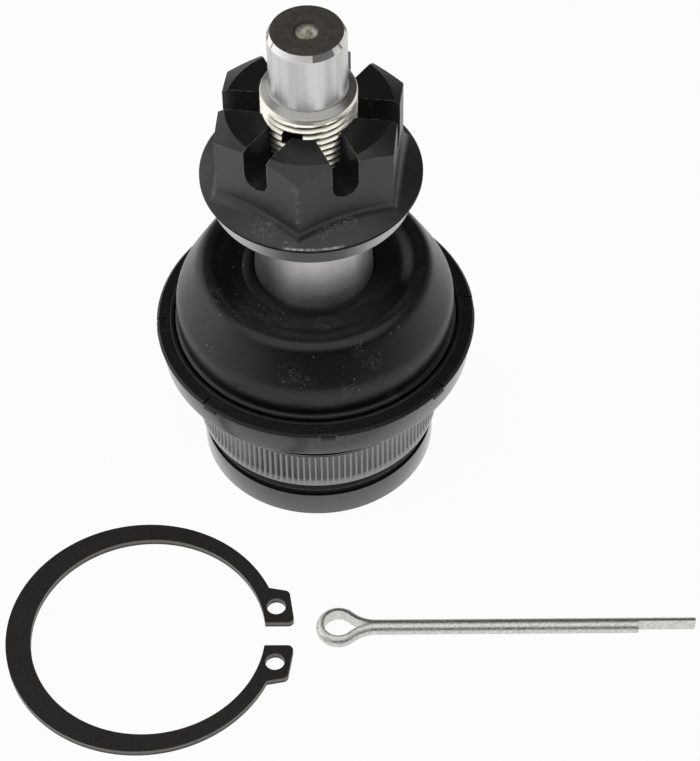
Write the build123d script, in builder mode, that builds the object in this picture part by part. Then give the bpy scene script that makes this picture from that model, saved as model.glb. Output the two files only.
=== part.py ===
from build123d import *
from math import cos, radians, sin, sqrt, tan
import os

# Suspension ball joint: a press-in housing with a swivelling tapered stud, its dust boot,
# slotted flange nut, snap ring and split pin. Millimetres, +Z up the stud, origin at the
# centre of the housing's base. A stud that leans swings about the ball's centre.

# ---------------------------------------------------------------- driving dimensions

# ball and its seats
ball_radius = 15.5
ball_drop = 11.0
ball_flat_cut = 0.9
seat_clearance = 0.05
seat_wall = 5.4
seat_top_rise = 8.0
seat_split_drop = 2.4
seat_split_gap = 0.6
grease_hole_radius = 4.0

# stud, from the ball up
neck_radius = 8.8
neck_fillet = 1.5
neck_rise = 2.5
flare_length = 6.3
shank_radius = 12.35
shank_straight = 3.0
taper_length = 22.5
taper_per_mm = 1 / 16
taper_gap_to_nut = 0.4
thread_diameter = 19.05
relief_depth = 0.9
relief_length = 2.4
thread_past_nut = 4.55
thread_run_out = 1.0
pilot_radius = 7.72
pilot_length = 13.8
tip_chamfer_height = 1.35
tip_chamfer_width = 0.65
centre_mark_radius = 2.5
centre_mark_depth = 2.6
centre_drill_radius = 0.8
centre_drill_depth = 1.6
cotter_hole_clearance = 0.8
cotter_hole_drop = 1.05
cotter_hole_angle = -111.6
cotter_hole_chamfer = 0.5

# housing, from the bore out and from the base up
bore_clearance = 0.05
base_wall = 2.8
base_height = 6.4
base_edge_chamfer = 0.25
groove_depth = 0.5
land_height = 2.4
knurl_step = 1.0
knurl_length = 9.55
knurl_end_chamfer = 0.6
knurl_rim = 0.3
knurl_count = 120
knurl_groove_width = 0.30
knurl_groove_depth = 0.35
press_neck_step = 0.8
press_neck_length = 9.35
press_neck_fillet = 0.9
flange_step = 6.6
flange_thickness = 5.9
flange_edge = 0.4
mouth_step = 0.27
mouth_flare = 3.2
collar_wall = 4.8
collar_rise = 4.2
collar_lip_step = 0.8
collar_lip_height = 1.2
collar_lip_edge = 0.4

# base cover, spring and lower seat
lip_thickness = 1.2
lip_overlap = 1.8
cover_thickness = 3.0
cover_ledge = 1.2
cover_dish_radius = 15.0
cover_dish_depth = 0.7
spring_height = 2.75
spring_thickness = 1.1
spring_inner_radius = 8.4
spring_outer_radius = 18.2
spring_end_play = 0.05
lower_seat_side_gap = 0.4
lower_seat_foot_step = 1.8
lower_seat_foot_height = 3.2

# dust boot and its rings
soft_clearance = 0.3
boot_wall = 2.0
boot_foot_margin = 3.0
boot_foot_height = 1.9
boot_waist_step = 0.6
boot_belly_swell = 0.15
boot_shoulder_rise = 8.45
boot_shoulder_blend = 7.0
boot_cone_angle = 28.7
boot_ridge_rise = 18.0
boot_ridge_blend = 2.8
boot_dish_width = 4.35
boot_dish_rim = 2.8
boot_dish_depth = 1.5
boot_dish_blend = 1.5
boot_lip_rise = 0.4
boot_lip_width = 1.0
boot_sleeve_wall = 1.6
boot_sleeve_length = 5.3
neck_ring_wire_radius = 0.8
neck_ring_rise = 1.2
retainer_overhang = 1.0
retainer_thickness = 1.2
retainer_collar_wall = 0.9
retainer_collar_height = 1.6
tab_count = 8
tab_width = 3.1
tab_slit = 0.3
tab_root_depth = 2.2
tab_thickness = 0.95
tab_reach = 0.45
tab_clearance = 0.05
tab_drop = 0.25
tab_bend_radius = 0.8
tab_angle = -87.0

# slotted flange nut
nut_across_flats = 34.93
nut_height = 22.75
nut_chamfer_inset = 0.965
nut_corner_angle = 30.0
nut_turn = 22.1
nut_running_clearance = 0.05
nut_seat_margin = 0.33
nut_seat_step = 4.0
nut_flange_step = 1.8
nut_flange_rise = 5.26
nut_flange_rim = 0.7
nut_flange_slope = 27.0
nut_flange_fillet = 2.5
nut_bore_chamfer = 1.0
slot_count = 6
slot_width = 5.5
slot_depth = 8.85

# snap ring, lying beside the housing
ring_clearance = 0.1
ring_thickness = 1.5
ring_side_clearance = 0.3
ring_width = 4.1
ring_offset = 1.1
ring_gap = 5.7
lug_reach = 6.0
lug_length = 8.0
lug_round = 1.2
lug_hole_radius = 2.0
lug_hole_reach = 2.1
lug_hole_inset = 4.1
ring_pin_gap = 4.5
ring_distance = 23.5
ring_yaw = -2.0

# split pin, lying beside the housing
pin_diameter = 3.2
pin_leg_gap = 0.04
pin_eye_radius = 3.1
pin_eye_x = 2.7
pin_neck_radius = 8.3
pin_long_leg = 76.8
pin_short_leg = 64.9
pin_distance = 23.35
pin_yaw = -1.8


def height_on_sphere(radius, across):
    """Height above the centre at which a sphere is that far across."""
    return sqrt(radius**2 - across**2)


def across_sphere(radius, rise):
    """How far a sphere reaches from its axis at that height above the centre."""
    return sqrt(radius**2 - rise**2)


def radial_plane(angle, height, distance=0):
    """A plane that faces away from the stud's axis in the direction of an angle, with its y up."""
    outward = (cos(radians(angle)), sin(radians(angle)), 0)
    return Plane(
        origin=(distance * outward[0], distance * outward[1], height),
        x_dir=(-outward[1], outward[0], 0),
        z_dir=outward,
    )


def meridian_plane(angle):
    """A plane through the stud's axis, with x outwards in the direction of an angle and y up."""
    return Plane(
        origin=(0, 0, 0),
        x_dir=(cos(radians(angle)), sin(radians(angle)), 0),
        z_dir=(sin(radians(angle)), -cos(radians(angle)), 0),
    )


def finish(builder, name):
    """Labels a finished piece and writes it."""
    builder.part.label = name
    export_step(builder.part, f"parts/{name}.step")


# ---------------------------------------------------------------- sizes that follow

# radii, from the ball outwards
seat_radius = ball_radius + seat_clearance
bore_radius = seat_radius + seat_wall + bore_clearance
mouth_radius = across_sphere(seat_radius, seat_top_rise) + mouth_step
cover_recess_radius = bore_radius + cover_ledge
base_radius = cover_recess_radius + base_wall
groove_radius = base_radius - groove_depth
knurl_radius = base_radius + knurl_step
press_neck_radius = knurl_radius - press_neck_step
flange_radius = knurl_radius + flange_step
collar_radius = bore_radius + collar_wall
collar_lip_radius = collar_radius + collar_lip_step
thread_radius = thread_diameter / 2

# heights, from the base upwards
groove_top_height = base_height + ring_thickness + ring_side_clearance
knurl_bottom_height = groove_top_height + land_height + knurl_end_chamfer
knurl_top_height = knurl_bottom_height + knurl_length
flange_bottom_height = knurl_top_height + press_neck_length
flange_top_height = flange_bottom_height + flange_thickness
collar_height = flange_top_height + collar_rise
ball_centre_height = flange_top_height - ball_drop
seat_top_height = ball_centre_height + seat_top_rise
cover_top_height = lip_thickness + cover_thickness
neck_top_height = collar_height + neck_rise
shoulder_height = neck_top_height + flare_length
taper_start_height = shoulder_height + shank_straight
taper_end_height = taper_start_height + taper_length
nut_seat_height = taper_end_height + taper_gap_to_nut
nut_top_height = nut_seat_height + nut_height
thread_top_height = nut_top_height + thread_past_nut
pilot_bottom_height = thread_top_height + thread_run_out
stud_height = pilot_bottom_height + pilot_length

os.makedirs("parts", exist_ok=True)

# ---------------------------------------------------------------- housing

knurl_shoulder_height = knurl_bottom_height - knurl_end_chamfer
knurl_end_radius = knurl_radius - knurl_end_chamfer
lip_bore_radius = cover_recess_radius - lip_overlap
lip_base_height = collar_height - collar_lip_height
mouth_top_radius = mouth_radius + mouth_flare

with BuildPart() as housing:
    with BuildSketch(Plane.XZ) as housing_profile:
        with BuildLine():
            Polyline(
                (lip_bore_radius, 0),
                (base_radius - base_edge_chamfer, 0),
                (base_radius, base_edge_chamfer),
                (base_radius, base_height),
                (groove_radius, base_height),
                (groove_radius, groove_top_height),
                (base_radius, groove_top_height),
                (base_radius, knurl_shoulder_height),
                (knurl_end_radius, knurl_shoulder_height),
                (knurl_radius, knurl_bottom_height),
                (knurl_radius, knurl_top_height),
                (knurl_end_radius, knurl_top_height + knurl_end_chamfer),
                (press_neck_radius, knurl_top_height + knurl_end_chamfer),
                (press_neck_radius, flange_bottom_height),
                (flange_radius - flange_edge, flange_bottom_height),
                (flange_radius, flange_bottom_height + flange_edge),
                (flange_radius, flange_top_height - flange_edge),
                (flange_radius - flange_edge, flange_top_height),
                (collar_radius, flange_top_height),
                (collar_radius, lip_base_height - collar_lip_edge),
                (collar_lip_radius, lip_base_height),
                (collar_lip_radius, collar_height - collar_lip_edge),
                (collar_lip_radius - collar_lip_edge, collar_height),
                (mouth_top_radius, collar_height),
                (mouth_radius, seat_top_height),
                (bore_radius, seat_top_height),
                (bore_radius, cover_top_height),
                (cover_recess_radius, cover_top_height),
                (cover_recess_radius, lip_thickness),
                (lip_bore_radius, lip_thickness),
                close=True,
            )
        make_face()
        neck_corner = housing_profile.vertices().sort_by_distance(
            (press_neck_radius, flange_bottom_height, 0)
        )[0]
        fillet(neck_corner, press_neck_fillet)
    revolve(axis=Axis.Z)
    # straight knurl: narrow grooves from the bottom rim out through the top chamfer
    groove_flare = knurl_groove_width * (1 + knurl_end_chamfer / knurl_groove_depth)
    with BuildSketch(Plane.XY.offset(knurl_bottom_height + knurl_rim)):
        with PolarLocations(knurl_radius, knurl_count):
            Polygon(
                (-knurl_groove_depth, 0),
                (knurl_end_chamfer, -groove_flare / 2),
                (knurl_end_chamfer, groove_flare / 2),
                align=None,
            )
    groove_length = knurl_top_height + knurl_end_chamfer - knurl_bottom_height - knurl_rim
    extrude(amount=groove_length, mode=Mode.SUBTRACT)
finish(housing, "housing")

# ---------------------------------------------------------------- base cover and spring

spring_bottom_height = cover_top_height + spring_end_play

with BuildPart() as base_cover:
    with BuildSketch(Plane.XY.offset(lip_thickness)):
        Circle(cover_recess_radius - bore_clearance)
    extrude(amount=cover_thickness)
    with BuildSketch(Plane.XY.offset(lip_thickness)):
        Circle(cover_dish_radius)
    extrude(amount=cover_dish_depth, taper=45, mode=Mode.SUBTRACT)
finish(base_cover, "base_cover")

with BuildPart() as preload_spring:
    with BuildSketch(Plane.XZ):
        with BuildLine():
            spring_rim_top = spring_bottom_height + spring_thickness
            spring_crown = spring_bottom_height + spring_height
            Polyline(
                (spring_outer_radius, spring_bottom_height),
                (spring_outer_radius, spring_rim_top),
                (spring_inner_radius, spring_crown),
                (spring_inner_radius, spring_crown - spring_thickness),
                close=True,
            )
        make_face()
    revolve(axis=Axis.Z)
finish(preload_spring, "preload_spring")

# ---------------------------------------------------------------- seats of the ball

lower_seat_bottom = spring_bottom_height + spring_height + spring_end_play
lower_seat_radius = bore_radius - lower_seat_side_gap
lower_seat_foot_radius = lower_seat_radius - lower_seat_foot_step
upper_seat_bottom = ball_centre_height - seat_split_drop
lower_seat_top = upper_seat_bottom - seat_split_gap

with BuildPart() as lower_bearing:
    with BuildSketch(Plane.XZ):
        foot_top = lower_seat_bottom + lower_seat_foot_height
        with BuildLine():
            Polyline(
                (0, lower_seat_bottom),
                (lower_seat_foot_radius, lower_seat_bottom),
                (lower_seat_foot_radius, foot_top),
                (lower_seat_radius, foot_top),
                (lower_seat_radius, lower_seat_top),
                (0, lower_seat_top),
                close=True,
            )
        make_face()
        with Locations((0, ball_centre_height)):
            Circle(seat_radius, mode=Mode.SUBTRACT)
        with Locations((0, lower_seat_bottom)):
            Rectangle(2 * grease_hole_radius, 2 * ball_radius, mode=Mode.SUBTRACT)
    revolve(axis=Axis.Z)
finish(lower_bearing, "lower_bearing")

with BuildPart() as upper_bearing:
    with BuildSketch(Plane.XZ):
        with BuildLine():
            Polyline(
                (0, upper_seat_bottom),
                (bore_radius - bore_clearance, upper_seat_bottom),
                (bore_radius - bore_clearance, seat_top_height),
                (0, seat_top_height),
                close=True,
            )
        make_face()
        with Locations((0, ball_centre_height)):
            Circle(seat_radius, mode=Mode.SUBTRACT)
    revolve(axis=Axis.Z)
finish(upper_bearing, "upper_bearing")

# ---------------------------------------------------------------- ball stud

neck_bottom_height = ball_centre_height + height_on_sphere(ball_radius, neck_radius)
ball_flat_radius = across_sphere(ball_radius, ball_radius - ball_flat_cut)
ball_flat_height = ball_centre_height - ball_radius + ball_flat_cut
taper_end_radius = shank_radius - taper_length * taper_per_mm
relief_radius = thread_radius - relief_depth
tip_radius = pilot_radius - tip_chamfer_width
cotter_hole_height = nut_top_height - cotter_hole_drop
cotter_hole_radius = pin_diameter / 2 + cotter_hole_clearance

with BuildPart() as ball_stud:
    with BuildSketch(Plane.XZ) as stud_profile:
        with BuildLine():
            flat = Line((0, ball_flat_height), (ball_flat_radius, ball_flat_height))
            ball = ThreePointArc(
                flat @ 1,
                (ball_radius, ball_centre_height),
                (neck_radius, neck_bottom_height),
            )
            neck = Line(ball @ 1, (neck_radius, neck_top_height))
            flare = Spline(
                neck @ 1,
                (shank_radius, shoulder_height),
                tangents=[(0, 1), (0, 1)],
            )
            Polyline(
                flare @ 1,
                (shank_radius, taper_start_height),
                (taper_end_radius, taper_end_height),
                (relief_radius, taper_end_height),
                (relief_radius, taper_end_height + relief_length),
                (thread_radius, taper_end_height + relief_length + relief_depth),
                (thread_radius, thread_top_height),
                (pilot_radius, pilot_bottom_height),
                (pilot_radius, stud_height - tip_chamfer_height),
                (tip_radius, stud_height),
                (centre_mark_radius, stud_height),
                (centre_drill_radius, stud_height - centre_mark_depth),
                (centre_drill_radius, stud_height - centre_mark_depth - centre_drill_depth),
                (0, stud_height - centre_mark_depth - centre_drill_depth),
                flat @ 0,
            )
        make_face()
        neck_foot = stud_profile.vertices().sort_by_distance((neck_radius, neck_bottom_height, 0))[0]
        fillet(neck_foot, neck_fillet)
    revolve(axis=Axis.Z)
    with BuildSketch(radial_plane(cotter_hole_angle, cotter_hole_height)):
        Circle(cotter_hole_radius)
    extrude(amount=thread_diameter, both=True, mode=Mode.SUBTRACT)
    # a countersink where the hole breaks out at each side
    for mouth_angle in (cotter_hole_angle, cotter_hole_angle + 180):
        with BuildSketch(radial_plane(mouth_angle, cotter_hole_height, thread_radius)):
            Circle(cotter_hole_radius + cotter_hole_chamfer)
        extrude(amount=-2 * cotter_hole_chamfer, taper=45, mode=Mode.SUBTRACT)
finish(ball_stud, "ball_stud")

# ---------------------------------------------------------------- dust boot and its rings

boot_foot_inner = collar_radius + soft_clearance
boot_foot_radius = flange_radius - boot_foot_margin
boot_waist_radius = boot_foot_radius - boot_waist_step
boot_belly_radius = boot_waist_radius + boot_belly_swell
boot_foot_bottom = flange_top_height + soft_clearance
boot_foot_top = boot_foot_bottom + boot_foot_height
boot_bead_top = lip_base_height - collar_lip_edge - soft_clearance
boot_shoulder_height = flange_top_height + boot_shoulder_rise
boot_ridge_height = flange_top_height + boot_ridge_rise
cone_height = boot_ridge_height - boot_shoulder_height
boot_crest_radius = boot_belly_radius - cone_height * tan(radians(boot_cone_angle))
dish_height = boot_ridge_height - boot_dish_depth
boot_lip_height = dish_height + boot_lip_rise
sleeve_inner = shank_radius + soft_clearance
sleeve_outer = sleeve_inner + boot_sleeve_wall
sleeve_bottom = boot_lip_height - boot_sleeve_length
boot_dish_radius = sleeve_outer + boot_dish_width
boot_rim_radius = boot_dish_radius + boot_dish_rim

# the inside of the crown runs one wall below the outside
shoulder_drop = boot_wall * tan(radians(boot_cone_angle / 2))
crest_inset = boot_wall * tan(radians(45 - boot_cone_angle / 2))
outer_shoulder = (boot_belly_radius, boot_shoulder_height)
outer_crest = (boot_crest_radius, boot_ridge_height)
outer_rim = (boot_rim_radius, boot_ridge_height)
outer_dish = (boot_dish_radius, dish_height)
inner_shoulder = (boot_belly_radius - boot_wall, boot_shoulder_height - shoulder_drop)
inner_crest = (boot_crest_radius - crest_inset, boot_ridge_height - boot_wall)

with BuildPart() as dust_boot:
    with BuildSketch(Plane.XZ) as boot_profile:
        with BuildLine():
            Polyline(
                (boot_foot_inner, boot_bead_top),
                (boot_foot_inner, boot_foot_bottom),
                (boot_foot_radius, boot_foot_bottom),
                (boot_foot_radius, boot_foot_top),
                (boot_waist_radius, boot_foot_top + soft_clearance),
                outer_shoulder,
                outer_crest,
                outer_rim,
                outer_dish,
                (sleeve_inner + boot_lip_width, boot_lip_height),
                (sleeve_inner, boot_lip_height - boot_lip_width / 2),
                (sleeve_inner, sleeve_bottom),
                (sleeve_outer, sleeve_bottom),
                (sleeve_outer, dish_height - boot_wall),
                (boot_dish_radius, dish_height - boot_wall),
                (boot_rim_radius, boot_ridge_height - boot_wall),
                inner_crest,
                inner_shoulder,
                (collar_lip_radius + soft_clearance, boot_bead_top),
                close=True,
            )
        make_face()
        for corner, blend in (
            (outer_shoulder, boot_shoulder_blend),
            (inner_shoulder, boot_shoulder_blend - boot_wall),
            (outer_crest, boot_ridge_blend),
            (inner_crest, boot_ridge_blend - boot_wall),
            (outer_rim, boot_dish_blend),
            (outer_dish, boot_dish_blend),
        ):
            fillet(boot_profile.vertices().sort_by_distance((*corner, 0))[0], blend)
    revolve(axis=Axis.Z)
finish(dust_boot, "dust_boot")

neck_ring_radius = sleeve_outer + soft_clearance + neck_ring_wire_radius

with BuildPart() as boot_neck_ring:
    with BuildSketch(Plane.XZ):
        with Locations((neck_ring_radius, sleeve_bottom + neck_ring_rise)):
            Circle(neck_ring_wire_radius)
    revolve(axis=Axis.Z)
finish(boot_neck_ring, "boot_neck_ring")

retainer_inner = boot_foot_radius + soft_clearance
retainer_radius = flange_radius + retainer_overhang
retainer_top = flange_top_height + retainer_thickness
retainer_edge = 0.42 * retainer_thickness
tab_inner = flange_radius + tab_clearance
tab_outer = tab_inner + tab_thickness
tab_top = retainer_top - tab_drop

with BuildPart() as boot_retainer:
    with BuildSketch(Plane.XZ) as retainer_profile:
        with BuildLine():
            Polyline(
                (retainer_inner, flange_top_height),
                (retainer_radius - retainer_edge, flange_top_height),
                (retainer_radius, flange_top_height + retainer_edge),
                (retainer_radius, retainer_top - retainer_edge),
                (retainer_radius - retainer_edge, retainer_top),
                (retainer_inner + retainer_collar_wall, retainer_top),
                (retainer_inner + retainer_collar_wall, flange_top_height + retainer_collar_height),
                (retainer_inner, flange_top_height + retainer_collar_height),
                close=True,
            )
        make_face()
        collar_corners = retainer_profile.vertices().group_by(Axis.Y)[-1]
        fillet(collar_corners, retainer_collar_wall / 3)
    revolve(axis=Axis.Z)
    with BuildSketch(Plane.XY.offset(flange_top_height)):
        with PolarLocations(retainer_radius, tab_count, start_angle=tab_angle):
            Rectangle(2 * tab_root_depth, tab_width + 2 * tab_slit)
    extrude(amount=retainer_thickness, mode=Mode.SUBTRACT)
    # tabs between the slits, bent down over the edge of the flange
    for tab in range(tab_count):
        with BuildSketch(meridian_plane(tab_angle + tab * 360 / tab_count)) as tab_profile:
            with BuildLine():
                Polyline(
                    (retainer_inner + retainer_collar_wall, flange_top_height),
                    (tab_inner, flange_top_height),
                    (tab_inner, flange_top_height - tab_reach),
                    (tab_outer, flange_top_height - tab_reach),
                    (tab_outer, tab_top),
                    (retainer_inner + retainer_collar_wall, tab_top),
                    close=True,
                )
            make_face()
            bend = tab_profile.vertices().sort_by_distance((tab_outer, tab_top, 0))[0]
            fillet(bend, tab_bend_radius)
        extrude(amount=tab_width / 2, both=True)
finish(boot_retainer, "boot_retainer")

# ---------------------------------------------------------------- slotted flange nut

nut_bore_radius = thread_radius + nut_running_clearance
nut_corner_reach = nut_across_flats / 2 / cos(radians(30))
nut_corner_radius = nut_across_flats / 2 - nut_chamfer_inset
corner_drop = (nut_corner_reach - nut_corner_radius) * tan(radians(nut_corner_angle))
nut_seat_radius = nut_corner_reach + nut_seat_margin
nut_flange_radius = nut_seat_radius + nut_flange_step
seat_step_height = nut_seat_height + nut_seat_step
nut_flange_edge = nut_seat_height + nut_flange_rise
slot_bottom_height = nut_top_height - slot_depth
cone_rise = (nut_flange_radius - nut_bore_radius) * tan(radians(nut_flange_slope))
fillet_band_top = nut_flange_edge + cone_rise / 2

with BuildPart() as castle_nut:
    with BuildSketch(Plane.XY.offset(seat_step_height)):
        RegularPolygon(nut_across_flats / 2, 6, major_radius=False, rotation=nut_turn)
    extrude(amount=nut_top_height - seat_step_height)
    # the turned cone that takes the corners off the top
    with BuildSketch(Plane.XZ):
        with BuildLine():
            Polyline(
                (0, nut_seat_height),
                (nut_corner_reach, nut_seat_height),
                (nut_corner_reach, nut_top_height - corner_drop),
                (nut_corner_radius, nut_top_height),
                (0, nut_top_height),
                close=True,
            )
        make_face()
    revolve(axis=Axis.Z, mode=Mode.INTERSECT)
    # the coned flange with its stepped seat
    with BuildSketch(Plane.XZ):
        with BuildLine():
            Polyline(
                (0, nut_seat_height),
                (nut_seat_radius, nut_seat_height),
                (nut_seat_radius, seat_step_height),
                (nut_flange_radius, nut_flange_edge - nut_flange_rim),
                (nut_flange_radius, nut_flange_edge),
                (nut_bore_radius, nut_flange_edge + cone_rise),
                (0, nut_flange_edge + cone_rise),
                close=True,
            )
        make_face()
    revolve(axis=Axis.Z)
    root_edges = castle_nut.edges().filter_by_position(
        Axis.Z, nut_flange_edge, fillet_band_top, inclusive=(False, True)
    )
    fillet(root_edges, nut_flange_fillet)
    with BuildSketch(Plane.XY.offset(nut_seat_height)):
        Circle(nut_bore_radius)
    extrude(amount=nut_top_height - nut_seat_height, mode=Mode.SUBTRACT)
    bore_mouth = castle_nut.edges().filter_by(GeomType.CIRCLE).sort_by(SortBy.RADIUS)
    chamfer(bore_mouth.group_by(Axis.Z)[0].sort_by(SortBy.RADIUS)[0], nut_bore_chamfer)
    # each cut goes through two opposite flats
    for cut in range(slot_count // 2):
        slot_angle = nut_turn + 30 + cut * 360 / slot_count
        with BuildSketch(radial_plane(slot_angle, slot_bottom_height + slot_width / 2)):
            Circle(slot_width / 2)
            with Locations((0, slot_width)):
                Rectangle(slot_width, 2 * slot_width)
        extrude(amount=nut_corner_reach, both=True, mode=Mode.SUBTRACT)
finish(castle_nut, "castle_nut")

# ---------------------------------------------------------------- snap ring

ring_bore_radius = groove_radius - ring_clearance
ring_outer_radius = ring_bore_radius + ring_width
lug_outer_radius = ring_bore_radius + lug_reach
lug_hole_distance = ring_bore_radius + lug_hole_reach
lug_start = ring_gap / 2
lug_end = lug_start + lug_length
lug_hole_offset = lug_start + lug_hole_inset
ring_x = pin_eye_x - pin_eye_radius - pin_diameter / 2 - ring_pin_gap - lug_outer_radius
ring_plane = Plane(
    origin=(ring_x, -flange_radius - ring_distance, 0),
    x_dir=(cos(radians(ring_yaw)), sin(radians(ring_yaw)), 0),
    z_dir=(0, 0, 1),
)

with BuildPart() as snap_ring:
    with BuildSketch(ring_plane) as ring_outline:
        with Locations((-ring_offset, 0)):
            Circle(ring_outer_radius)
        for side in (1, -1):
            Polygon(
                (ring_bore_radius - lug_round, side * lug_start),
                (lug_outer_radius, side * lug_start),
                (lug_outer_radius - lug_round, side * lug_end),
                (ring_bore_radius - lug_round, side * (lug_end + lug_round)),
                align=None,
            )
        Circle(ring_bore_radius, mode=Mode.SUBTRACT)
        with Locations((ring_outer_radius, 0)):
            Rectangle(2 * lug_outer_radius - ring_outer_radius, ring_gap, mode=Mode.SUBTRACT)
        lug_corners = ring_outline.vertices().filter_by_position(
            Axis.X, lug_outer_radius - lug_round, lug_outer_radius
        )
        fillet(lug_corners, lug_round)
        with Locations((lug_hole_distance, lug_hole_offset), (lug_hole_distance, -lug_hole_offset)):
            Circle(lug_hole_radius, mode=Mode.SUBTRACT)
    extrude(amount=ring_thickness)
finish(snap_ring, "snap_ring")

# ---------------------------------------------------------------- split pin

leg_offset = pin_leg_gap / 2
leg_radius = pin_diameter / 2 - leg_offset
arc_distance = pin_eye_radius + pin_neck_radius
neck_x = pin_eye_x + sqrt(arc_distance**2 - (pin_neck_radius + leg_offset) ** 2)
touch_share = pin_eye_radius / arc_distance
touch_x = pin_eye_x + touch_share * (neck_x - pin_eye_x)
touch_y = touch_share * (pin_neck_radius + leg_offset)
pin_plane = Plane(
    origin=(0, -flange_radius - pin_distance, pin_diameter / 2),
    x_dir=(cos(radians(pin_yaw)), sin(radians(pin_yaw)), 0),
    z_dir=(0, 0, 1),
)

neck_top = (neck_x, leg_offset)
neck_bottom = (neck_x, -leg_offset)
touch_top = (touch_x, touch_y)
touch_bottom = (touch_x, -touch_y)

with BuildPart() as cotter_pin:
    with BuildLine(pin_plane) as pin_path:
        long_leg = Line((pin_long_leg, leg_offset), neck_top)
        RadiusArc(neck_top, touch_top, pin_neck_radius)
        ThreePointArc(touch_top, (pin_eye_x - pin_eye_radius, 0), touch_bottom)
        RadiusArc(touch_bottom, neck_bottom, pin_neck_radius)
        Line(neck_bottom, (pin_short_leg, -leg_offset))
    # half-round wire, its flat turned to the other leg
    with BuildSketch(Plane(origin=long_leg @ 0, x_dir=pin_plane.y_dir, z_dir=long_leg % 0)):
        Circle(leg_radius)
        with Locations((-leg_radius, 0)):
            Rectangle(2 * leg_radius, 2 * leg_radius, mode=Mode.SUBTRACT)
    sweep(path=pin_path.wire())
finish(cotter_pin, "cotter_pin")
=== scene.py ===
import bmesh
import bpy
import math
from mathutils import Matrix, Vector


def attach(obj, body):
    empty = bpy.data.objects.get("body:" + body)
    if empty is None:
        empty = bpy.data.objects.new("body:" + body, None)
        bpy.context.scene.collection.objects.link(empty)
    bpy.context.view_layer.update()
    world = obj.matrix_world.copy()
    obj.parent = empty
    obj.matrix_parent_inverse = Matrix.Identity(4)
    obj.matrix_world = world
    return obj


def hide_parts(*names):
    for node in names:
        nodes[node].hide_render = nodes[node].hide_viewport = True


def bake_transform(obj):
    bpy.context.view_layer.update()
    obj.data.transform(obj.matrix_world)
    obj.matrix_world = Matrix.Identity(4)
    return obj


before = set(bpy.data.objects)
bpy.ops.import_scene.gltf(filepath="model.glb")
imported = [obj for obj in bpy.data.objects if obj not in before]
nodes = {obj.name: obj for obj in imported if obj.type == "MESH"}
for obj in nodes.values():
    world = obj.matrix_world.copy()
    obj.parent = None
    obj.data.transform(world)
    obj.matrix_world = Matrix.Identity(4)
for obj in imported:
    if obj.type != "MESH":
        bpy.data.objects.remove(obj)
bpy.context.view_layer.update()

# Suspension ball joint: the stud stands up +Z, and the origin is the middle of the housing's base.
# Shapes and finishes are given in millimetres; the camera, the lamps, the distances at which
# points merge and the boot's blend are in metres. Angles are in degrees.

MM = 0.001

# ---------------------------------------------------------------- sizes in millimetres

# housing, from the base up; its knurl has a smooth rim under the ribs and one over them
BASE_RADIUS = 25.0
GROOVE_RADIUS, GROOVE_BOTTOM, GROOVE_TOP = 24.5, 6.4, 8.2
KNURL_RADIUS, KNURL_FOOT, KNURL_BOTTOM, KNURL_TOP = 26.0, 10.6, 11.2, 21.05
RIM_TOP, RIB_BOTTOM, RIB_TOP, UPPER_RIM = 11.8, 13.2, 20.2, 20.75
PRESS_NECK_RADIUS = 24.9
FLANGE_RADIUS, FLANGE_BOTTOM, FLANGE_TOP = 32.6, 30.1, 36.0
COLLAR_FOOT_RADIUS, COLLAR_RADIUS, COLLAR_TOP = 25.8, 26.6, 40.2
MOUTH_RADIUS, MOUTH_TOP_RADIUS, MOUTH_BOTTOM = 13.6, 16.8, 33.0
BORE_RADIUS, COVER_RADIUS, LIP_RADIUS = 21.0, 22.2, 20.4
COVER_TOP, LIP_TOP = 4.2, 1.2

# the housing's walls lie outside this radius, and its bore inside
OUTSIDE = 24.0

# knurl: how many ribs, the steps round each, their depth and the share of it at each step
RIBS, RIB_STEPS, RIB_DEPTH = 130, 8, 0.45
RIB_SHAPE = (1.0, 1.0, 1.0, 1.0, 0.45, 0.0, 0.0, 0.45)

# stud, from the ball up
BALL_RADIUS, BALL_CENTRE, BALL_FLAT, FLAT_RADIUS = 15.5, 25.0, 10.4, 5.2
NECK_RADIUS, NECK_BOTTOM, NECK_TOP = 8.8, 37.76, 42.7
SHANK_RADIUS, SHANK_BOTTOM, SHANK_TOP = 12.35, 49.0, 52.0
TAPER_END_RADIUS, TAPER_TOP = 10.944, 74.5
RELIEF_RADIUS, RELIEF_TOP = 8.625, 76.6
THREAD_LOW, THREAD_HIGH = 77.3, 101.9
CHAMFER_RADIUS, CHAMFER_BOTTOM, PILOT_FOOT_RADIUS, PILOT_FOOT = 9.35, 102.3, 7.9, 103.1
PILOT_RADIUS, PILOT_BOTTOM, PILOT_TOP = 7.72, 103.25, 115.65
TIP_RADIUS, STUD_TOP = 7.07, 117.0
MARK_RADIUS, DRILL_RADIUS, MARK_BOTTOM, DRILL_BOTTOM = 2.5, 0.8, 114.4, 112.8
HOLE_RADIUS, HOLE_HEIGHT, HOLE_REACH, HOLE_ANGLE = 2.4, 96.6, 20, -111.6

# thread: its pitch and radii, the height over which it fades out at the top, and the shares of
# half a pitch at which its crest ends and its root starts
PITCH, CREST, ROOT, THREAD_FADE = 1.5875, 9.525, 8.60, 1.0
CREST_SHARE, ROOT_SHARE = 0.14, 0.84

# steps round the turned pieces, and rows of points in one turn of the thread
STUD_SIDES, BOOT_SIDES, HOLE_SIDES = 160, 192, 48
ROWS_PER_TURN = 10

# bevels of the pieces kept from the frame, and how their meshes are cleaned first
NUT_BEVEL, RETAINER_BEVEL = 0.22, 0.12
BEVEL_STEPS, BEVEL_ANGLE = 2, 28
WELD_GAP, FLAT_ANGLE = 0.0004, 0.5

# how sharp an edge has to be to stay crisp
HOUSING_CREASE, STUD_CREASE, BOOT_CREASE = 35, 32, 50

# how close points have to be to become one, in metres
MERGE, STUD_MERGE = 1e-7, 1e-6

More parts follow.
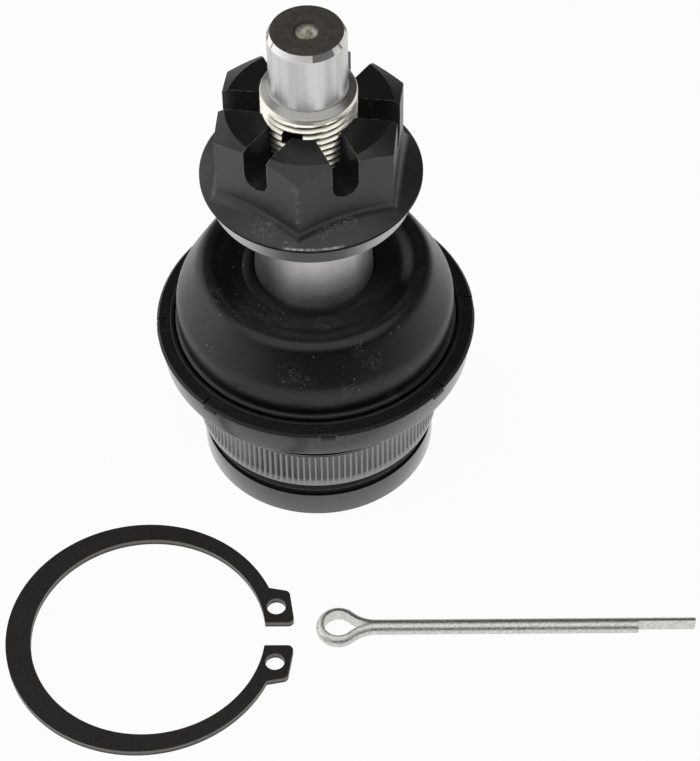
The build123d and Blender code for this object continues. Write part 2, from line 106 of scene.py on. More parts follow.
# how far the floor reaches each way, and its height
FLOOR_REACH, FLOOR_HEIGHT = 3000, -0.05


# ---------------------------------------------------------------- geometry helpers

def link(name, data):
    """A new object in the scene."""
    obj = bpy.data.objects.new(name, data)
    bpy.context.scene.collection.objects.link(obj)
    return obj


def shade_smooth(mesh):
    """Smooth shading on every face."""
    mesh.polygons.foreach_set("use_smooth", [True] * len(mesh.polygons))


def new_object(name, verts, faces):
    """A smooth mesh object from points in millimetres."""
    mesh = bpy.data.meshes.new(name)
    mesh.from_pydata([[c * MM for c in v] for v in verts], [], faces)
    mesh.update()
    shade_smooth(mesh)
    return link(name, mesh)


def rounded(outline, steps=3):
    """A line of (r, z, corner radius) points with each corner turned into an arc.

    It is taken as closed; an open line has ends without a radius.
    """
    out = []
    count = len(outline)
    for i, (r, z, radius) in enumerate(outline):
        here = Vector((r, z))
        if radius <= 0:
            out.append((r, z))
            continue
        before = Vector(outline[i - 1][:2]) - here
        after = Vector(outline[(i + 1) % count][:2]) - here
        reach = min(radius, before.length * 0.45, after.length * 0.45)
        start = here + before.normalized() * reach
        end = here + after.normalized() * reach
        for k in range(steps + 1):
            t = k / steps
            p = start * (1 - t) ** 2 + here * 2 * t * (1 - t) + end * t ** 2
            out.append((p.x, p.y))
    return out


def hermite(points, tangents, steps):
    """A smooth line through (r, z) points with a tangent direction at each."""
    out = []
    for i in range(len(points) - 1):
        p, q = Vector(points[i]), Vector(points[i + 1])
        span = (q - p).length
        u = Vector(tangents[i]).normalized() * span
        v = Vector(tangents[i + 1]).normalized() * span
        for k in range(steps):
            t = k / steps
            a = p * (2 * t ** 3 - 3 * t ** 2 + 1) + u * (t ** 3 - 2 * t ** 2 + t)
            b = q * (3 * t ** 2 - 2 * t ** 3) + v * (t ** 3 - t ** 2)
            out.append(tuple(a + b))
    out.append(tuple(points[-1]))
    return out


def around(radius, z, step, steps):
    """The point at one of the steps round the stud's axis."""
    angle = 2 * math.pi * step / steps
    return (radius * math.cos(angle), radius * math.sin(angle), z)


def circle(radius, z, steps):
    """A ring of points round the stud's axis, or one point on it."""
    count = steps if radius > 1e-6 else 1
    return [around(radius, z, step, steps) for step in range(count)]


def skin(name, rings, steps, closed):
    """A mesh from each ring of points to the next; a ring may be one point on the axis."""
    verts, faces, rows = [], [], []
    for ring in rings:
        rows.append((len(verts), len(ring)))
        verts.extend(ring)
    following = rows[1:] + rows[:1] if closed else rows[1:]
    for (a, count_a), (b, count_b) in zip(rows, following):
        if count_a == 1 and count_b == 1:
            continue
        for k in range(steps):
            n = (k + 1) % steps
            if count_a == 1:
                faces.append((a, b + n, b + k))
            elif count_b == 1:
                faces.append((a + k, a + n, b))
            else:
                faces.append((a + k, a + n, b + n, b + k))
    return new_object(name, verts, faces)


def lathe(name, outline, steps):
    """A solid turned about the stud's axis from a closed outline of (r, z) points."""
    return mend(skin(name, [circle(r, z, steps) for r, z in outline], steps, closed=True))


def mend(obj, merge=MERGE):
    """Merges points that coincide and turns every face outwards."""
    bm = bmesh.new()
    bm.from_mesh(obj.data)
    bmesh.ops.remove_doubles(bm, verts=bm.verts, dist=merge)
    bmesh.ops.dissolve_degenerate(bm, edges=bm.edges, dist=merge)
    bmesh.ops.recalc_face_normals(bm, faces=bm.faces)
    bm.to_mesh(obj.data)
    bm.free()
    return obj


def soften(obj, angle):
    """Smooth shading, with edges sharper than the angle left crisp."""
    shade_smooth(obj.data)
    obj.data.set_sharp_from_angle(angle=math.radians(angle))


def cut_with(obj, cutter):
    """Takes the cutter out of obj for good."""
    modifier = obj.modifiers.new("cut", "BOOLEAN")
    modifier.operation = "DIFFERENCE"
    modifier.solver = "EXACT"
    modifier.object = cutter
    graph = bpy.context.evaluated_depsgraph_get()
    result = bpy.data.meshes.new_from_object(obj.evaluated_get(graph))
    obj.modifiers.clear()
    old = obj.data
    obj.data = result
    bpy.data.meshes.remove(old)
    bpy.data.objects.remove(cutter)


def edge_bevel(obj, width):
    """Real small bevels on a CAD node's sharp edges, over its welded and flattened mesh."""
    weld = obj.modifiers.new("weld", "WELD")
    weld.merge_threshold = WELD_GAP * MM
    flat = obj.modifiers.new("flat", "DECIMATE")
    flat.decimate_type = "DISSOLVE"
    flat.angle_limit = math.radians(FLAT_ANGLE)
    bevel = obj.modifiers.new("bevel", "BEVEL")
    bevel.width = width * MM
    bevel.segments = BEVEL_STEPS
    bevel.limit_method = "ANGLE"
    bevel.angle_limit = math.radians(BEVEL_ANGLE)
    bevel.harden_normals = True
    shade = obj.modifiers.new("shade", "WEIGHTED_NORMAL")
    shade.weight = 100
    shade_smooth(obj.data)


# ---------------------------------------------------------------- shader helpers

class Nodes:
    """A node tree, built from short calls."""

    def __init__(self, tree):
        self.nodes = tree.nodes
        self.links = tree.links

    def put(self, socket, value):
        """Sets a socket to a number, a colour or another socket."""
        if isinstance(value, bpy.types.NodeSocket):
            self.links.new(value, socket)
        elif isinstance(value, tuple) and len(value) == 3 and socket.type == "RGBA":
            socket.default_value = (*value, 1)
        else:
            socket.default_value = value

    def set(self, node, **values):
        """Sets a node's sockets by name; an underscore stands for a space."""
        for name, value in values.items():
            self.put(node.inputs[name.replace("_", " ")], value)

    def add(self, kind, *inputs, **settings):
        """A new node with its settings and its first sockets; None leaves a socket alone."""
        node = self.nodes.new("ShaderNode" + kind)
        for name, value in settings.items():
            setattr(node, name, value)
        for index, value in enumerate(inputs):
            if value is not None:
                self.put(node.inputs[index], value)
        return node

    def maths(self, operation, *inputs):
        return self.add("Math", *inputs, operation=operation).outputs[0]

    def times(self, first, *others):
        """Product of two or more values, from left to right."""
        for other in others:
            first = self.maths("MULTIPLY", first, other)
        return first

    def most(self, a, b):
        return self.maths("MAXIMUM", a, b)

    def part(self, vector, index):
        """One of a vector's three numbers."""
        return self.add("SeparateXYZ", vector).outputs[index]

    def band(self, value, low, high, out_low=0.0, out_high=1.0, curve="SMOOTHSTEP"):
        """value mapped from low..high to out_low..out_high."""
        node = self.add("MapRange", interpolation_type=curve)
        self.set(node, Value=value, From_Min=low, From_Max=high, To_Min=out_low, To_Max=out_high)
        return node.outputs["Result"]

    def between(self, value, rise, fall):
        """0 to 1 over the two values of rise, and back to 0 over those of fall."""
        return self.times(self.band(value, *rise), self.band(value, *fall))


class Finish(Nodes):
    """A material of noises and bands that lie in the object's own coordinates."""

    def __init__(self, name):
        self.material = bpy.data.materials.new(name)
        self.material.use_nodes = True
        super().__init__(self.material.node_tree)
        self.shader = self.nodes["Principled BSDF"]
        self.place = self.add("TexCoord").outputs["Object"]

    def finished(self, **values):
        """Sets the shader's own sockets and returns the material."""
        self.set(self.shader, **values)
        return self.material

    def radius(self):
        """Distance from the stud's axis, in millimetres."""
        x, y = self.part(self.place, 0), self.part(self.place, 1)
        squares = self.maths("ADD", self.times(x, x), self.times(y, y))
        return self.times(self.maths("SQRT", squares), 1 / MM)

    def height(self):
        """Height over the housing's base, in millimetres."""
        return self.times(self.part(self.place, 2), 1 / MM)

    def along(self, index, low, high):
        """A band along X (0, to the right) or Y (1, to the back), given in millimetres."""
        return self.band(self.part(self.place, index), low * MM, high * MM)

    def out_from_middle(self, low, high):
        """A band to the left and right of the middle, given in millimetres."""
        sideways = self.maths("ABSOLUTE", self.part(self.place, 0))
        return self.band(sideways, low * MM, high * MM)

    def vector(self, operation, *inputs):
        node = self.add("VectorMath", *inputs, operation=operation)
        return node.outputs["Value" if operation == "LENGTH" else "Vector"]

    def stretched(self, x, y, z):
        """Object coordinates in millimetres, stretched along the axes."""
        return self.vector("MULTIPLY", self.place, (x / MM, y / MM, z / MM))

    def noise(self, scale, detail, roughness, distortion=0.0, stretch=(1, 1, 1), where=None):
        """Cloudy noise of scale waves to the millimetre."""
        node = self.add("TexNoise")
        self.put(node.inputs["Vector"], where or self.stretched(*stretch))
        self.set(node, Scale=scale, Detail=detail, Roughness=roughness, Distortion=distortion)
        return node.outputs["Fac"]

    def turned(self, fineness):
        """Fine rings, as a lathe tool leaves them."""
        where = self.add("CombineXYZ", self.radius(), self.height(), 0.0).outputs[0]
        return self.noise(fineness, 2.0, 0.6, where=where)

    def lines(self, noise, width, core):
        """Thin lines where a noise crosses its middle."""
        return self.band(self.maths("ABSOLUTE", self.maths("SUBTRACT", noise, 0.5)), width, core)

    def points(self, scale):
        """Distance to the nearest of many scattered points."""
        node = self.add("TexVoronoi", feature="F1")
        self.set(node, Vector=self.stretched(1, 1, 1), Scale=scale)
        return node.outputs["Distance"]

    def near(self, spots, core):
        """1 at (x, y, z, reach) spots, fading from a core share of the reach to its end."""
        nearest = 0.0
        for x, y, z, reach in spots:
            away = self.vector("SUBTRACT", self.place, (x * MM, y * MM, z * MM))
            spot = self.band(self.vector("LENGTH", away), reach * MM, core * reach * MM)
            nearest = self.most(nearest, spot)
        return nearest

    def mix(self, factor, a, b):
        """a where the factor is 0, b where it is 1."""
        node = self.add("Mix", data_type="RGBA")
        for index, value in ((0, factor), (6, a), (7, b)):
            self.put(node.inputs[index], value)
        return node.outputs[2]

    def shades(self, value, dark, light, low=0.3, high=0.7):
        """A dark colour where the value is low, a light one where it is high."""
        return self.mix(self.band(value, low, high), dark, light)

    def spread(self, noise, low, high):
        """A number between low and high that follows the noise."""
        return self.band(noise, 0.3, 0.7, low, high)

    def bump(self, relief, strength, distance):
        """The surface's direction with a fine relief on it."""
        node = self.add("Bump")
        self.set(node, Strength=strength, Distance=distance * MM, Height=relief)
        return node.outputs["Normal"]

    def edges(self, reach):
        """1 along outward edges, 0 on plain faces."""
        node = self.add("AmbientOcclusion", samples=8, inside=True)
        self.set(node, Distance=reach * MM)
        return self.band(node.outputs["AO"], 0.92, 0.55)

    def hollows(self, reach, low, high):
        """0 in tight corners, 1 in the open."""
        node = self.add("AmbientOcclusion", samples=6)
        self.set(node, Distance=reach * MM)
        return self.band(node.outputs["AO"], low, high)


def dress(obj, *materials):
    """Gives an object these materials in place of its own."""
    obj.data.materials.clear()
    for material in materials:
        obj.data.materials.append(material)


# ---------------------------------------------------------------- camera

CAMERA_PLACE = (0, -0.366, 0.447577)
CAMERA_ANGLES = (1.10, 49.78, -0.98)
CAMERA_LENS, CAMERA_SENSOR = 123.0, 36.0


def place_camera():
    """The photograph's camera, turned by yaw, pitch (downwards) and roll in degrees."""
    camera = link("camera", bpy.data.cameras.new("camera"))
    bpy.context.scene.camera = camera
    camera.data.lens = CAMERA_LENS
    camera.data.sensor_width = CAMERA_SENSOR
    camera.data.clip_start = 0.01
    camera.data.clip_end = 20.0
    yaw, pitch, roll = (math.radians(angle) for angle in CAMERA_ANGLES)
    flat = math.cos(pitch)
    forward = Vector((math.sin(yaw) * flat, math.cos(yaw) * flat, -math.sin(pitch)))
    level = Vector((math.cos(yaw), -math.sin(yaw), 0))
    rise = level.cross(forward)
    right = math.cos(roll) * level + math.sin(roll) * rise
    up = math.cos(roll) * rise - math.sin(roll) * level
    turn = Matrix((right, up, -forward)).transposed().to_4x4()
    camera.matrix_world = Matrix.Translation(CAMERA_PLACE) @ turn


# ---------------------------------------------------------------- light

# name, place, the point that it faces, width and height, power
LAMPS = (
    ("lamp_left", (-1.0, 0.42, 0.40), (0, 0, 0.04), (1.6, 0.9), 3.4),
    ("lamp_right", (1.0, 0.20, 0.22), (0, 0, 0.03), (1.2, 0.4), 0.4),
    ("lamp_top", (0.0, -0.42, 1.30), (0, 0, 0.0), (2.4, 1.5), 12.5),
)

# brightness of the room that the object mirrors, and how far to a side it starts and is full
ROOM_DARK, ROOM_LEFT, ROOM_RIGHT = 0.04, 0.80, 0.22
ROOM_START, ROOM_FULL = 0.45, 0.95

# brightness of the room that the camera sees
WHITE_ROOM = 1.0

# the floor's colour and glow, and how far the glow replaces the colour where it is seen
FLOOR_COLOUR, FLOOR_GLOW, GLOW_SHARE = (0.90, 0.90, 0.90), 1.0, 0.96


def add_lamp(name, place, target, size, power):
    """A soft rectangular lamp that faces a point."""
    data = bpy.data.lights.new(name, "AREA")
    data.shape = "RECTANGLE"
    data.size, data.size_y = size
    data.energy = power
    lamp = link(name, data)
    lamp.location = place
    lamp.rotation_mode = "QUATERNION"
    lamp.rotation_quaternion = (Vector(target) - Vector(place)).to_track_quat("-Z", "Y")


def light_room():
    """White to the camera; to the object, bright low down at the sides and dark elsewhere."""
    world = bpy.data.worlds.new("studio")
    bpy.context.scene.world = world
    world.use_nodes = True
    room = Nodes(world.node_tree)
    seen = room.add("LightPath").outputs["Is Camera Ray"]
    sideways = room.part(room.add("TexCoord").outputs["Generated"], 0)
    left = room.band(sideways, -ROOM_START, -ROOM_FULL, ROOM_DARK, ROOM_LEFT, "LINEAR")
    right = room.band(sideways, ROOM_START, ROOM_FULL, ROOM_DARK, ROOM_RIGHT, "LINEAR")
    strength = room.add("Mix", seen, None, room.most(left, right), WHITE_ROOM).outputs[0]
    room.set(room.nodes["Background"], Color=(1, 1, 1), Strength=strength)


def lay_floor():
    """A flat floor just under the object."""
    corners = [
        (x * FLOOR_REACH, y * FLOOR_REACH, FLOOR_HEIGHT)
        for x, y in ((-1, -1), (1, -1), (1, 1), (-1, 1))
    ]
    return new_object("floor", corners, [(0, 1, 2, 3)])


def white_ground():
    """Matt white with a glow that the camera and reflections see, and the light doesn't."""
    material = bpy.data.materials.new("ground")
    material.use_nodes = True
    paint = Nodes(material.node_tree)
    matt = paint.nodes["Principled BSDF"]
    paint.set(matt, Roughness=1.0, Specular_IOR_Level=0.0, Base_Color=FLOOR_COLOUR)
    glow = paint.add("Emission")
    paint.set(glow, Strength=FLOOR_GLOW)
    rays = paint.add("LightPath").outputs
    seen = paint.most(rays["Is Camera Ray"], rays["Is Glossy Ray"])
    share = paint.times(seen, GLOW_SHARE)
    blend = paint.add("MixShader", share, matt.outputs[0], glow.outputs[0])
    paint.set(paint.nodes["Material Output"], Surface=blend.outputs[0])
    return material


place_camera()
for lamp_settings in LAMPS:
    add_lamp(*lamp_settings)
light_room()
bpy.context.scene.view_settings.view_transform = "Standard"

floor = lay_floor()
dress(floor, white_ground())


# ---------------------------------------------------------------- finishes of the housing

def housing_steel():
    """Oiled steel, with painted highlights on the knurl's crests and rims, and painted shade darkest on
    the flange's left, lighter towards its right.
    """
    paint = Finish("housing_steel")
    radius, height = paint.radius(), paint.height()
    rings = paint.turned(9.0)
    smudge = paint.noise(0.09, 5.0, 0.6)
    speck = paint.noise(2.2, 3.0, 0.7)
    tone = paint.shades(smudge, (0.032, 0.031, 0.032), (0.048, 0.047, 0.048), 0.35, 0.7)
    on_knurl = paint.between(height, (11.1, KNURL_BOTTOM), (21.1, 21.0))
    # painted highlight: the knurl's crests are painted lighter than the grooves between them
    crest = paint.times(on_knurl, paint.band(radius, 25.62, 25.95))
    tone = paint.mix(crest, tone, (0.180, 0.176, 0.176))
    # painted highlight: the smooth rims under and over the ribs are painted lighter
    rims = paint.most(paint.band(height, 12.9, 11.9), paint.band(height, 20.3, 20.6))
    tone = paint.mix(paint.times(on_knurl, rims), tone, (0.215, 0.210, 0.208))
    # painted shade and light: the flange and all above it are painted near-black on the left and
    # lighter towards the right
    flange = paint.mix(paint.along(0, 10, 26), (0.009, 0.009, 0.008), (0.080, 0.079, 0.077))
    tone = paint.mix(paint.band(height, 29.0, 30.0), tone, flange)
    tone = paint.mix(paint.band(speck, 0.66, 0.74, 0.0, 0.5), tone, (0.33, 0.32, 0.31))
    tone = paint.mix(paint.times(paint.edges(0.25), 0.55), tone, (0.46, 0.45, 0.44))
    return paint.finished(
        Base_Color=tone, Metallic=0.85, Coat_Weight=1.0, Coat_Roughness=0.25, Coat_IOR=1.6,
        Roughness=paint.spread(rings, 0.26, 0.36), Normal=paint.bump(rings, 0.25, 0.02),
    )


def groove_shade_black():
    """Near-black steel: painted shade in the groove, on the land under the knurl and on the neck under
    the flange.
    """
    paint = Finish("groove_shade_black")
    grain = paint.noise(1.6, 4.0, 0.6)
    return paint.finished(
        Base_Color=paint.shades(grain, (0.0030, 0.0030, 0.0030), (0.0075, 0.0075, 0.0075)),
        Roughness=paint.spread(grain, 0.5, 0.62), Specular_IOR_Level=0.12,
        Normal=paint.bump(grain, 0.2, 0.02),
    )


# ---------------------------------------------------------------- finishes of the stud

def satin_shank(paint):
    """Colour of shank and taper: satin in the middle, with painted shade darkening the left and the
    right.
    """
    smudge = paint.noise(0.16, 4.0, 0.55, stretch=(1, 1, 0.4))
    satin = paint.shades(smudge, (0.66, 0.65, 0.635), (0.82, 0.81, 0.795))
    # painted shade on the left and, less dark, on the right
    satin = paint.mix(paint.along(0, -3.5, -10), satin, (0.20, 0.197, 0.19))
    return paint.mix(paint.along(0, 8, 12), satin, (0.42, 0.41, 0.40))


def bright_end(paint, tone, radius, height, on_pilot):
    """The streaked pilot, the thread dark in its roots and bright on its crests, and the dull foot of
    the pilot.
    """
    streak = paint.noise(0.5, 3.0, 0.5, stretch=(1.0, 1.0, 0.02))
    chrome = paint.shades(streak, (0.55, 0.54, 0.525), (0.70, 0.69, 0.675), 0.35, 0.65)
    tone = paint.mix(on_pilot, tone, chrome)
    on_thread = paint.times(on_pilot, paint.band(height, PILOT_FOOT, 102.4))
    dark_root_bright_crest = paint.shades(radius, (0.05, 0.044, 0.034), (0.95, 0.92, 0.82), 8.72, 9.10)
    tone = paint.mix(on_thread, tone, dark_root_bright_crest)
    foot = paint.between(height, (102.1, 102.4), (103.6, 103.2))
    return paint.mix(foot, tone, (0.36, 0.35, 0.33))


def chamfer_highlight(paint, tone, on_tip):
    """A painted highlight on the chamfer round the end, broken by darker gaps."""
    gaps = paint.noise(0.30, 2.0, 0.4, 0.6, stretch=(1, 1, 0.1))
    # painted highlight: bright colour on the chamfer, with darker gaps from a noise
    tip_highlight = paint.shades(gaps, (0.30, 0.29, 0.28), (0.95, 0.94, 0.93), 0.38, 0.46)
    return paint.mix(on_tip, tone, tip_highlight)


def brown_end(paint, tone, radius, on_end, in_mark):
    """The brown flat end, and the centre mark with a painted highlight on its cone and painted shade
    round its mouth.
    """
    grain = paint.noise(0.9, 4.0, 0.65)
    flat = paint.shades(grain, (0.062, 0.055, 0.042), (0.088, 0.080, 0.064), 0.35, 0.65)
    tone = paint.mix(on_end, tone, flat)
    # painted highlight on the mark's cone
    mark = paint.shades(grain, (0.22, 0.21, 0.17), (0.75, 0.72, 0.62), 0.3, 0.6)
    # painted shade round the mark's mouth
    mark = paint.mix(paint.band(radius, 1.6, 2.4), mark, (0.035, 0.030, 0.022))
    return paint.mix(in_mark, tone, mark)


def whole_stud():
    """Satin shank and taper, bright pilot and thread, brown end."""
    paint = Finish("stud_steel")
    radius, height = paint.radius(), paint.height()
    rings = paint.turned(7.0)
    on_pilot = paint.band(height, 76.0, 78.0)
    on_tip = paint.band(height, PILOT_TOP - 0.1, PILOT_TOP + 0.05)
    flat = paint.band(height, STUD_TOP - 0.07, STUD_TOP - 0.02)
    on_end = paint.times(flat, paint.band(radius, 2.4, 2.55))
    in_mark = paint.times(paint.band(height, 110.0, 111.0), paint.band(radius, 2.7, MARK_RADIUS))
    tone = bright_end(paint, satin_shank(paint), radius, height, on_pilot)
    tone = chamfer_highlight(paint, tone, on_tip)
    tone = brown_end(paint, tone, radius, on_end, in_mark)
    dull = paint.most(on_end, in_mark)
    satin = paint.spread(rings, 0.44, 0.56)
    bright = paint.maths("ADD", paint.spread(rings, 0.24, 0.34), paint.times(on_tip, 0.3))
    return paint.finished(
        Base_Color=tone,
        Metallic=paint.maths("SUBTRACT", 0.95, paint.times(dull, 0.75)),
        Roughness=paint.most(paint.times(dull, 0.5), paint.mix(on_pilot, satin, bright)),
        Normal=paint.bump(rings, 0.15, 0.012),
    )


def hole_brown():
    """Rust inside the cotter hole."""
    paint = Finish("hole_brown")
    grain = paint.noise(1.5, 4.0, 0.6)
    tone = paint.shades(grain, (0.014, 0.006, 0.003), (0.05, 0.022, 0.014))
    return paint.finished(Base_Color=tone, Roughness=0.7, Metallic=0.3)


# ---------------------------------------------------------------- finish of the nut

# where the spanner slipped, as (x, y, z, reach): on the cone, then down the front corner
SCUFFS = (
    (-10.3, -16.9, 81.4, 2.6), (-8.3, -16.9, 81.9, 2.2), (-8.7, -18.5, 81.1, 2.0),
    (-4.7, -21.1, 80.5, 2.2), (2.3, -18.6, 82.0, 2.4), (5.1, -17.2, 82.4, 2.2),
    (7.0, -16.8, 82.3, 2.0),
    (-3.0, -20.0, 94.0, 1.4), (-3.0, -20.0, 91.5, 1.5), (-3.0, -20.0, 88.8, 1.2),
    (-3.0, -20.0, 85.8, 1.0),
)


def seat_with_painted_side_light(paint, tone, seat_band):
    """The machined seat, with painted light making it brighter towards its sides."""
    # painted light: the seat is painted brighter towards its left and right
    steel = paint.mix(paint.out_from_middle(4, 16), (0.100, 0.100, 0.099), (0.50, 0.50, 0.50))
    return paint.mix(seat_band, tone, steel)


def rubbed_edges_and_rim_shadow(paint, tone, height, rim):
    """Steel along the hexagon's edges, a black rim of painted shadow under the cone's edge, and a
    bright line on the rim's front.
    """
    broken = paint.band(paint.noise(1.3, 3.0, 0.7), 0.42, 0.62)
    wear = paint.times(paint.edges(0.22), paint.times(broken, 0.8))
    tone = paint.mix(paint.times(wear, paint.band(height, 84.0, 86.0)), tone, (0.34, 0.33, 0.31))
    # painted shadow: the rim under the cone's edge is painted black
    tone = paint.mix(rim, tone, (0.0010, 0.0010, 0.0010))
    line = paint.between(height, (80.06, 80.12), (80.42, 80.26))
    line = paint.times(line, paint.out_from_middle(6.5, 4.8), paint.along(1, -18, -20))
    line = paint.times(line, paint.band(broken, 0.0, 1.0, 0.3, 1.0))
    return paint.mix(line, tone, (0.60, 0.58, 0.53))


def scuffed(paint, tone, height):
    """Scratches at the scuffs, a haze on the cone and specks all over."""
    scratch = paint.noise(1.1, 7.0, 0.85, 1.6, stretch=(1.0, 0.7, 1.0))
    stroke = paint.noise(0.6, 3.0, 0.6, 1.5, stretch=(0.7, 1.0, 1.0))
    scuff = paint.most(paint.band(scratch, 0.55, 0.62), paint.lines(stroke, 0.026, 0.008))
    scuff = paint.times(scuff, paint.band(scratch, 0.46, 0.54), paint.near(SCUFFS, 0.3))
    tone = paint.mix(paint.times(scuff, 0.8), tone, (0.30, 0.29, 0.265))
    haze = paint.between(height, (80.1, 80.3), (83.2, 81.2))
    haze = paint.times(haze, paint.band(scratch, 0.35, 0.7, 0.1, 0.5))
    tone = paint.mix(haze, tone, (0.030, 0.029, 0.026))
    return paint.mix(paint.band(scratch, 0.70, 0.76, 0.0, 0.5), tone, (0.16, 0.155, 0.145))


def black_phosphate():
    """Manganese phosphate, with wear on its edges, scuffed on the cone and bare on the seat; painted
    shade in its hollows and under the cone's edge, painted light on the seat's sides.
    """
    paint = Finish("black_phosphate")
    height = paint.height()
    grain = paint.noise(3.5, 5.0, 0.7)
    cloud = paint.noise(0.22, 4.0, 0.6)
    seat_band = paint.band(height, 78.9, 78.8)
    # painted shadow: where the black rim under the cone's edge goes
    rim = paint.between(height, (78.85, 78.95), (80.14, 80.04))
    tone = paint.shades(grain, (0.0048, 0.0048, 0.0045), (0.0098, 0.0098, 0.0092))
    tone = paint.mix(paint.band(cloud, 0.5, 0.75, 0.0, 0.5), tone, (0.018, 0.018, 0.017))
    tone = seat_with_painted_side_light(paint, tone, seat_band)
    tone = rubbed_edges_and_rim_shadow(paint, tone, height, rim)
    tone = scuffed(paint, tone, height)
    # painted shade: the nut's hollows, such as the valleys between its flats and cone, are painted
    # black
    in_open = paint.most(paint.hollows(6.0, 0.40, 0.92), seat_band)
    tone = paint.mix(in_open, (0.0012, 0.0012, 0.0012), tone)
    matt = paint.most(paint.band(in_open, 1.0, 0.3, 0.3, 0.9), rim)
    return paint.finished(
        Base_Color=tone, Metallic=paint.times(seat_band, 0.85), Specular_IOR_Level=0.62,
        Roughness=paint.most(paint.spread(grain, 0.32, 0.44), matt),
        Normal=paint.bump(grain, 0.35, 0.03),
    )


# ---------------------------------------------------------------- finish of the boot

# where lint has caught, as (x, y, z, reach)
CLUMPS = (
    (-20.0, -9.5, 54.0, 3.2), (-14.5, -12.8, 53.0, 4.2), (-10.0, -14.5, 52.6, 3.6),
    (-5.5, -26.6, 48.3, 3.6), (-2.5, -27.6, 46.5, 2.8), (8.7, -23.3, 52.0, 2.4),
    (11.1, -24.3, 49.0, 3.0), (15.0, -25.4, 39.0, 2.4), (6.0, -28.0, 45.0, 2.4),
    (2.0, -17.0, 52.6, 3.5),
)


def ridge_highlight_and_dish_dust_and_light(paint, tone, film, fine):
    """A painted highlight round the ridge at the top, and dust with painted light on the front of the
    dish.
    """
    radius, height = paint.radius(), paint.height()
    # painted highlight: the ridge round the top is painted lighter
    ridge = paint.between(radius, (20.6, 21.9), (23.6, 22.3))
    ridge = paint.times(ridge, paint.band(height, 53.0, 53.5))
    ridge = paint.times(ridge, paint.band(film, 0.3, 0.6, 0.4, 1.0))
    tone = paint.mix(ridge, tone, (0.018, 0.018, 0.017))
    # dust and painted light: the front of the dish is painted lighter towards the shank
    dust_and_light = paint.times(paint.band(radius, 21.0, 18.5), paint.along(1, -4, -13))
    dust_and_light = paint.times(dust_and_light, paint.spread(fine, 0.3, 0.8))
    return paint.mix(dust_and_light, tone, (0.009, 0.0105, 0.0075))


def linted(paint, tone, fine):
    """Lint in clumps, with specks and flecks all over."""
    lint = paint.lines(paint.noise(0.55, 3.0, 0.6, 1.8), 0.022, 0.006)
    lint = paint.times(lint, paint.band(fine, 0.44, 0.52), paint.near(CLUMPS, 0.2))
    tone = paint.mix(paint.times(lint, 0.85), tone, (0.17, 0.17, 0.165))
    tone = paint.mix(paint.band(fine, 0.72, 0.80, 0.0, 0.45), tone, (0.12, 0.12, 0.12))
    flecks = paint.band(paint.points(0.42), 0.075, 0.045, 0.0, 0.8)
    return paint.mix(flecks, tone, (0.30, 0.30, 0.29))


def boot_rubber():
    """Black rubber with dust and lint on it, and a painted highlight on its ridge."""
    paint = Finish("boot_rubber")
    grain = paint.noise(2.4, 4.0, 0.6)
    film = paint.noise(0.16, 5.0, 0.65)
    fine = paint.noise(1.9, 6.0, 0.8)
    tone = paint.shades(grain, (0.0014, 0.0014, 0.0016), (0.0032, 0.0032, 0.0035))
    tone = paint.mix(paint.times(paint.band(film, 0.45, 0.75), 0.5), tone, (0.009, 0.009, 0.009))
    tone = ridge_highlight_and_dish_dust_and_light(paint, tone, film, fine)
    tone = linted(paint, tone, fine)
    return paint.finished(
        Base_Color=tone, Roughness=paint.spread(grain, 0.28, 0.37), Specular_IOR_Level=0.45,
        Normal=paint.bump(grain, 0.12, 0.03),
    )


# ---------------------------------------------------------------- finishes of the other pieces

def black_coat():
    """Black coating of the ring that holds the boot, thin on its edges, with crumbs on it."""
    paint = Finish("black_coat")
    grain = paint.noise(1.8, 4.0, 0.6)
    crumb = paint.noise(1.5, 5.0, 0.8)
    tone = paint.shades(grain, (0.0045, 0.0045, 0.0045), (0.010, 0.010, 0.010))
    tone = paint.mix(paint.times(paint.edges(0.2), 0.3), tone, (0.12, 0.12, 0.12))
    tone = paint.mix(paint.band(crumb, 0.68, 0.76, 0.0, 0.5), tone, (0.13, 0.13, 0.12))
    return paint.finished(
        Base_Color=tone, Roughness=paint.spread(grain, 0.40, 0.52), Specular_IOR_Level=0.4,
        Normal=paint.bump(grain, 0.2, 0.02),
    )


def oiled_spring_steel():
    """Steel of the snap ring and the boot's wire: near-black faces, edges tan at the top."""
    paint = Finish("oiled_spring_steel")
    grain = paint.noise(2.6, 4.0, 0.65)
    cloud = paint.noise(0.12, 3.0, 0.5)
    tone = paint.shades(grain, (0.025, 0.022, 0.019), (0.042, 0.038, 0.033))
    tone = paint.mix(paint.band(cloud, 0.4, 0.7, 0.0, 0.5), tone, (0.040, 0.036, 0.032))
    facing_up = paint.part(paint.add("NewGeometry").outputs["Normal"], 2)
    wall = paint.band(paint.maths("ABSOLUTE", facing_up), 0.9, 0.5)
    sheared = paint.shades(paint.height(), (0.04, 0.034, 0.027), (0.19, 0.17, 0.143), 0.45, 0.65)
    return paint.finished(
        Base_Color=paint.mix(wall, tone, sheared), Metallic=0.4,
        Roughness=paint.spread(grain, 0.40, 0.55), Normal=paint.bump(grain, 0.3, 0.02),
    )


def zinc_wire():
    """Zinc plate on the split pin, drawn along X and pitted."""
    paint = Finish("zinc_wire")
    grain = paint.noise(2.6, 5.0, 0.75, stretch=(0.6, 1, 1))
    pits = paint.noise(4.5, 4.0, 0.8)
    tone = paint.shades(grain, (0.50, 0.50, 0.465), (0.86, 0.86, 0.82), 0.35, 0.65)
    tone = paint.mix(paint.band(pits, 0.62, 0.70, 0.0, 0.7), tone, (0.16, 0.16, 0.145))
    return paint.finished(
        Base_Color=tone, Metallic=0.9, Roughness=paint.spread(grain, 0.32, 0.46),
        Normal=paint.bump(grain, 0.45, 0.04),
    )


